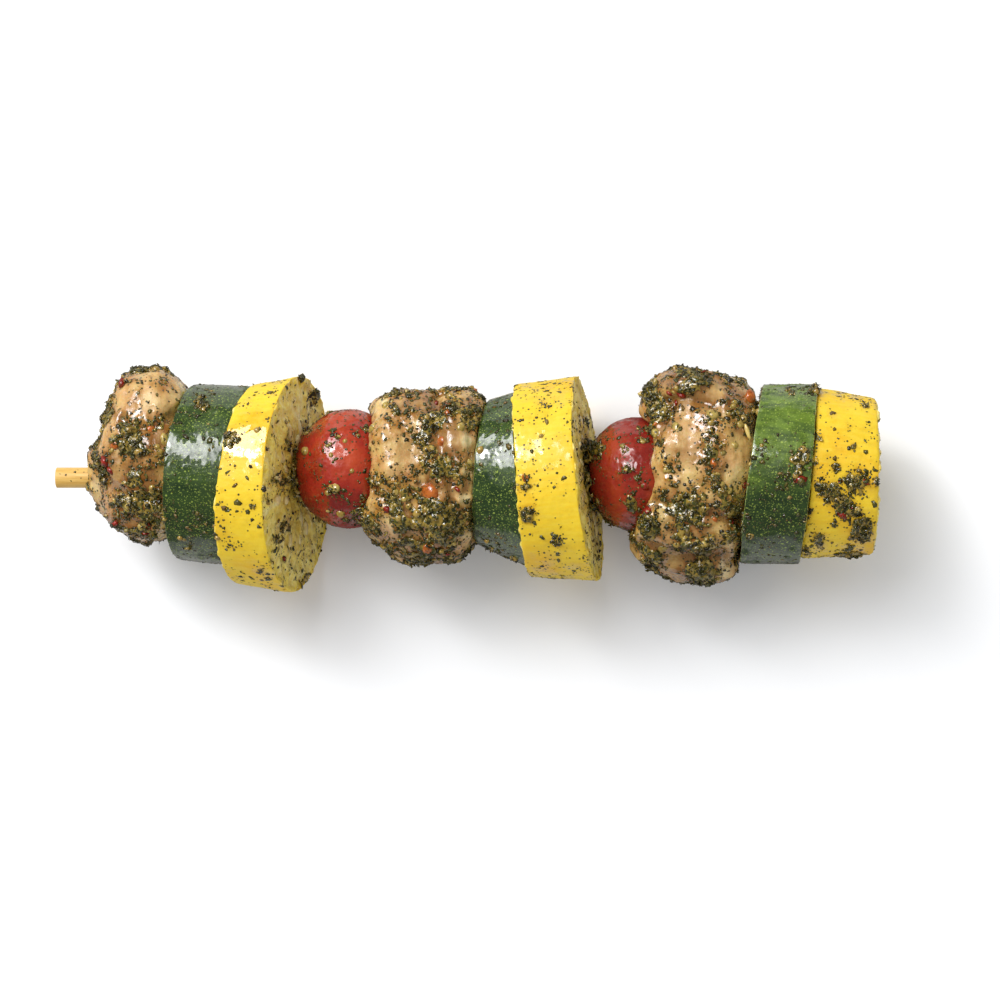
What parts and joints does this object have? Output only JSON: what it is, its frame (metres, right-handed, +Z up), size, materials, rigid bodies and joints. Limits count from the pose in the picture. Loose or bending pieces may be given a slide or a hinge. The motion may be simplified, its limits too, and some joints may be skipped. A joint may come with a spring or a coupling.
{
  "type": "chicken kebab skewer",
  "caption": "Raw marinated chicken kebab: chicken chunks, zucchini and yellow squash slices and cherry tomatoes threaded on a round bamboo stick, lying flat ready to grill.",
  "frame": {"origin": "on the surface that the kebab lies on, under the middle of its bounding box", "axes": "+X along the stick from its blunt end to its point, +Y across the stick to the picture's upper side, +Z up, which is the picture's view direction reversed"},
  "size_m": [0.1806, 0.0491, 0.0452],
  "materials": {
    "bamboo": "bare, smooth",
    "raw_chicken": "wet with oily herb marinade",
    "zucchini_skin": "glossy, oiled",
    "squash_skin": "glossy, oiled",
    "tomato_skin": "glossy, oiled"
  },
  "bodies": {
    "root": {"stick": "bamboo", "chicken_1": "raw_chicken", "chicken_2": "raw_chicken", "chicken_3": "raw_chicken", "zucchini_1": "zucchini_skin", "zucchini_2": "zucchini_skin", "zucchini_3": "zucchini_skin", "squash_1": "squash_skin", "squash_2": "squash_skin", "squash_3": "squash_skin", "tomato_1": "tomato_skin", "tomato_2": "tomato_skin"}
  },
  "joints": []
}
